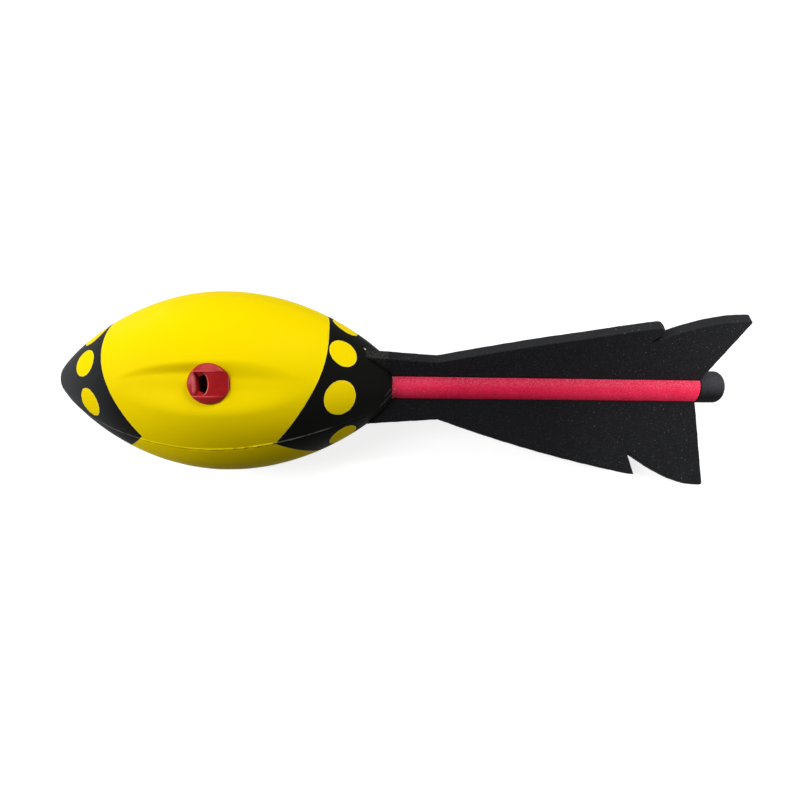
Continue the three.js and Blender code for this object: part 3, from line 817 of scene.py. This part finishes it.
def finFace(ring, rootCount):
    # from the root to the outer edge in shares, bent at its two ends to the front and trailing edges
    n, v = rootCount, fin["shares"]
    rootLine, trailLine = ring[:n], ring[n - 1:n + v - 1]
    outerLine = ring[n + v - 2:2 * n + v - 2][::-1]
    frontLine = np.concatenate([ring[2 * n + v - 3:], ring[:1]])[::-1]
    fromFront, fromTrail = (
        np.linalg.norm(line - line[0], axis=1)[None, :, None] for line in (frontLine, trailLine))
    across = np.linspace(0, 1, n)[:, None, None]
    share = np.linspace(0, 1, v)[None, :, None]
    share = (share + (fromFront / fromFront.max() - share) * (1 - across) ** 3
             + (fromTrail / fromTrail.max() - share) * across ** 3)
    flat = rootLine[:, None] * (1 - share) + outerLine[:, None] * share
    flat = (flat + (frontLine[None] - flat[:1]) * (1 - across) ** 6
            + (trailLine[None] - flat[-1:]) * across ** 6)
    flat[:, 0], flat[:, -1], flat[0], flat[-1] = rootLine, outerLine, frontLine, trailLine
    return flat


def makeFin(number, finish):
    name, angle = f"fin{number + 1}", radians(fins[number]["angle"])
    root, trail, outer, front = finSides(fins[number])
    # anticlockwise, with the station to the right and the reach upwards
    loop = np.concatenate([root[:-1], trail[:-1], outer[::-1][:-1], front[::-1][:-1]])
    onRoot = np.arange(len(loop)) < len(root)
    length = np.cumsum(np.linalg.norm(loop - np.roll(loop, 1, axis=0), axis=1))
    loop = inset(loop, (fin["ragged"] * ripple(length / 1.7, number + 0.3) * ~onRoot)[:, None])

    # the cut edge: a rounded corner, a face that slants a little, and the other rounded corner
    half, size = fin["thickness"] / 2, fin["edgeRound"]
    turn = np.linspace(0, pi / 2, 5)
    corner, depth = half - size + size * np.cos(turn), size - size * np.sin(turn)
    heights = np.concatenate([corner, np.linspace(half - size, size - half, 7)[1:-1], -corner[::-1]])
    depths = np.concatenate([depth, np.zeros(5), depth[::-1]])
    onCut = (depths < size * 0.35).astype(float)
    onFront = np.arange(len(loop)) > len(loop) - len(front)
    slants = fin["slant"] * (0.5 - heights / fin["thickness"])[:, None] * ~(onFront | onRoot)
    rings = np.stack([inset(loop, (depth + slant)[:, None]) for depth, slant in zip(depths, slants)])
    stemSurface = np.sqrt(fin["root"] ** 2 - heights ** 2)[:, None] + 0 * rings[..., 1]
    # the front edge follows the head's curve through the fin's thickness
    place, radius = rings[..., 0], rings[..., 1]
    turned = angle + np.arcsin(heights[:, None] / np.maximum(radius, fin["root"]))
    radius = radius + headRelief(place, turned) - headRelief(place, angle + 0 * place)
    curved = np.sqrt(np.maximum(radius ** 2 - heights[:, None] ** 2, 0))
    rings[..., 1] = np.where(onFront, curved, rings[..., 1])
    rings[..., 1] = np.where(onRoot[None], stemSurface, np.maximum(rings[..., 1], stemSurface))
    rim = np.concatenate([rings, heights[:, None, None] + 0 * rings[..., :1]], axis=-1)

    near, far = finFace(rim[0], len(root)), finFace(rim[-1], len(root))
    faces = gridFaces(len(near), fin["shares"], closedColumns=False)
    start = near.size // 3
    allFaces = (faces.tolist() + (faces[:, ::-1] + start).tolist()
                + gridFaces(len(rim), len(loop), 2 * start).tolist())
    local = np.concatenate([near.reshape(-1, 3), far.reshape(-1, 3), rim.reshape(-1, 3)])
    cut = np.concatenate([np.zeros(2 * start), np.repeat(onCut, len(loop))])

    # the sheet is never quite flat away from its root
    station, reach, height = local.T
    height = height + smoothStep(10, 45, reach) * fin["wave"] * ripple(station / 26, 1.9 * number + 0.8)
    points = aboutAxis(station, reach, angle, height)
    return makeMesh(name, points, allFaces, finish, {"cutEdge": cut}, smoothAngle=45)


foams = {
    "redFoam": {
        "colour": (0.98, 0.045, 0.130, 1), "deep": (0.91, 0.036, 0.108, 1), "bright": (1.0, 0.26, 0.42, 1),
        "grain": 0.55, "roughness": 0.68,
        # factors on the colour along the stem, painted light and shade, and the stations between which each
        # takes over
        "headward": (1, 0.7, 0.8), "middle": (0.79, 0.36, 0.54), "middleFrom": (160, 192),
        "tailward": (0.87, 0.55, 0.65), "tailwardFrom": (222, 262),
        # a painted glint on the stem's top, then glue
        "glitter": (1.0, 0.25, 0.35, 1), "glue": (0.95, 0.74, 0.70, 1), "glueTo": (153.8, 155.4)},
    "blackFoam": {
        "colour": (0.0110, 0.0113, 0.0135, 1), "deep": (0.0085, 0.0088, 0.0106, 1),
        "bright": (0.070, 0.072, 0.082, 1), "grain": 0.6, "roughness": 0.8,
        "edge": (0.019, 0.0193, 0.021, 1), "edgeFrom": (166, 182), "speck": (0.35, 0.37, 0.36, 1),
        "speckFrom": (215, 262), "shade": (0.12, 0.12, 0.12), "shadeTo": (225, 268),
        "glue": (0.007, 0.0045, 0.0035, 1), "glueTo": (8.8, 9.9), "smearTo": (148, 152)},
    "tipFoam": {
        "colour": (0.036, 0.0355, 0.040, 1), "deep": (0.030, 0.0295, 0.034, 1),
        "bright": (0.11, 0.11, 0.12, 1), "grain": 0.5, "roughness": 0.8,
        "shade": (0.08, 0.08, 0.09), "shadeTo": (1, 8.5)},
}


def makeFoam(name, details):
    # closed-cell foam sheet: fine cells, softly mottled, with a few cells that catch the light
    look = foams[name]
    finish = Finish(name, Specular_IOR_Level=0.06)
    place = finish.toyPlace()
    mottle = finish.noise(place, 0.16, 3, 0.6)
    grains = finish.noise(place, 1.5, 3, 0.7)
    cells = finish.cells(place, 2.6)
    base = finish.mix(mottle.step(0.3, 0.7), look["colour"], look["deep"])
    base = finish.mix(grains.step(0.52, 0.72) * look["grain"], base, look["bright"])
    base = details(finish, look, place, base)
    height = cells * 0.5 + grains * 0.7 + mottle * 0.6
    finish.feed(Base_Color=base, Roughness=look["roughness"] + (grains - 0.5) * 0.25,
                Normal=finish.bump(height, 0.16, 0.75))
    return finish


def stemDetails(finish, look, place, base):
    # painted light and shade: paler towards both ends and darker in the middle, with a painted glint on
    # top; flecked with glue where it leaves the head
    mix, noise, (station, _, up) = finish.mix, finish.noise, finish.split(place)
    headward, middle, tailward = (
        finish.scaled(base, look[name]) for name in ("headward", "middle", "tailward"))
    shaded = mix(station.step(*look["middleFrom"]) * 0.95, headward, middle)
    shaded = mix(station.step(*look["tailwardFrom"]) * 0.85, shaded, tailward)
    glitter = up.step(4.4, 7.6) * noise(place, 1.9, 2, 0.6).step(0.42, 0.66)
    shaded = mix(glitter * 0.42, shaded, look["glitter"])
    flecks = noise(place, 1.1, 3, 0.65).step(0.54, 0.6) * (1 - station.step(*look["glueTo"]))
    return mix(flecks * 0.9, shaded, look["glue"])


def finDetails(finish, look, place, base):
    # paler cut edges and specks; the two lower fins are darker, more so towards the head, a painted shade;
    # dark glue lies along each root, and there is a mottled smear of it on the upright fin's front corner
    mix, noise, (station, across, up) = finish.mix, finish.noise, finish.split(place)
    radius = across.hypot(up)
    base = mix(finish.mark("cutEdge") * station.step(*look["edgeFrom"]) * 0.75, base, look["edge"])
    specks = (1 - finish.cells(place, 0.6).step(0.06, 0.16)) * noise(place, 0.7, 1).step(0.4, 0.68)
    base = mix(specks * (0.2 + station.step(*look["speckFrom"]) * 0.4), base, look["speck"])
    low = up.maths("LESS_THAN", 0) * (0.42 + (1 - station.step(*look["shadeTo"])) * 0.28)
    base = mix(low, base, finish.scaled(base, look["shade"]))
    base = mix((1 - radius.step(*look["glueTo"])) * 0.75, base, look["glue"])
    smear = (1 - station.step(*look["smearTo"])) * up.maths("GREATER_THAN", 10)
    smear = smear * noise(place, 1.5, 3, 0.7).step(0.44, 0.6)
    return mix(smear * 0.6, base, paint["glue"])


def tipDetails(finish, look, place, base):  # darker underneath, a painted shade
    up = finish.split(place)[2]
    return finish.mix(1 - up.step(*look["shadeTo"]), base, finish.scaled(base, look["shade"]))


# Stage and lights

stage = {
    # lamps: [place in metres, size, power], all turned to a point over the toy's middle
    "lamps": {
        "top": [(0.118, 0.075, 0.36), 0.175, 0.83],
        "nose": [(-1.022, -0.129, 0.52), 0.57, 5.56],
        "noseHigh": [(-0.612, -0.354, 0.747), 0.36, 4.25],
        "noseBack": [(-0.457, 0.40, 0.20), 0.3, 0.63],
        "tail": [(0.242, -0.075, 0.098), 0.13, 0.25],
    },
    "aim": (0, 0, 0.04), "world": 0.03, "size": 4.0, "floorHeight": -0.0003,
    "floor": (0.4, 0.4, 0.4, 1), "floorDark": (0.03, 0.03, 0.03, 1), "glowNear": (0.82, 0.82, 0.82, 1),
    "glowReach": (0.22, 0.5),  # metres from the toy's middle over which the glow grows to white
}


def makeStage():
    scene = bpy.context.scene
    scene.view_settings.view_transform = "Standard"
    for name, (place, size, power) in stage["lamps"].items():
        light = bpy.data.lights.new(name + "Light", "AREA")
        light.shape, light.size, light.energy = "DISK", size, power
        holder = addObject(light.name, light)
        holder.location = place
        holder.rotation_euler = (Vector(place) - Vector(stage["aim"])).to_track_quat("Z", "Y").to_euler()

    world = bpy.data.worlds.new("studio")
    world.use_nodes = True
    scene.world = world
    sky = Nodes(world.node_tree)
    background = sky.nodes["Background"]
    sky.fill(background.inputs["Color"], (1, 1, 1, 1))
    sky.fill(background.inputs["Strength"], sky.seen() * (1 - stage["world"]) + stage["world"])

    # the floor glows towards the camera, so it is white but for the toy's soft shadow
    floor = Finish("paleFloor", Roughness=0.9, Specular_IOR_Level=0.0, Emission_Strength=1.0)
    seen = floor.seen()
    place = floor.node("ShaderNodeTexCoord", out="Object")
    distance = floor.node("ShaderNodeVectorMath", {"operation": "LENGTH"}, {0: place}, out="Value")
    glow = floor.mix(distance.step(*stage["glowReach"]), stage["glowNear"], (1, 1, 1, 1))
    floor.feed(Base_Color=floor.mix(seen, stage["floorDark"], stage["floor"]),
               Emission_Color=floor.mix(seen, (0, 0, 0, 1), glow))
    size, low = stage["size"], stage["floorHeight"]
    corners = [(-size, -size, low), (size, -size, low), (size, size, low), (-size, size, low)]
    mesh = bpy.data.meshes.new("floor")
    mesh.from_pydata(corners, [], [(0, 1, 2, 3)])
    mesh.materials.append(floor.material)
    ground = addObject("floor", mesh)


# Making it all

makeCamera()
makeStage()
print("stage and camera ready")

paintedFoam = makePaint()
dress(makeHead(paintedFoam), "yellow_foam", "foam_head", fill=1.0)

redPlastic = makePlastic("redPlastic")
for number, whistleAngle in enumerate(whistleAngles):
    cap = makeWhistleCap(f"whistleCap{number + 1}", whistleAngle, redPlastic)
    dress(cap, "red_plastic", f"whistle_cap_{number + 1}")

dress(makeStem(makeFoam("redFoam", stemDetails)), "red_foam", "stem_tube", fill=1.0)

blackFoam = makeFoam("blackFoam", finDetails)
for number in range(len(fins)):
    dress(makeFin(number, blackFoam), "black_foam", f"fin_{number + 1}", fill=1.0)
dress(makeTip(makeFoam("tipFoam", tipDetails)), "black_foam", "stem_tip", fill=1.0)

cups = [f"whistle_cup_{number + 1}" for number in range(hollow["count"])]
for look, names in (("corePlastic", ["stem_core"]), ("cupPlastic", cups)):
    finish = makePlastic(look)
    for name in names:
        materials = frame["nodes"][name].data.materials
        materials.clear()
        materials.append(finish.material)
print("kept pieces finished")
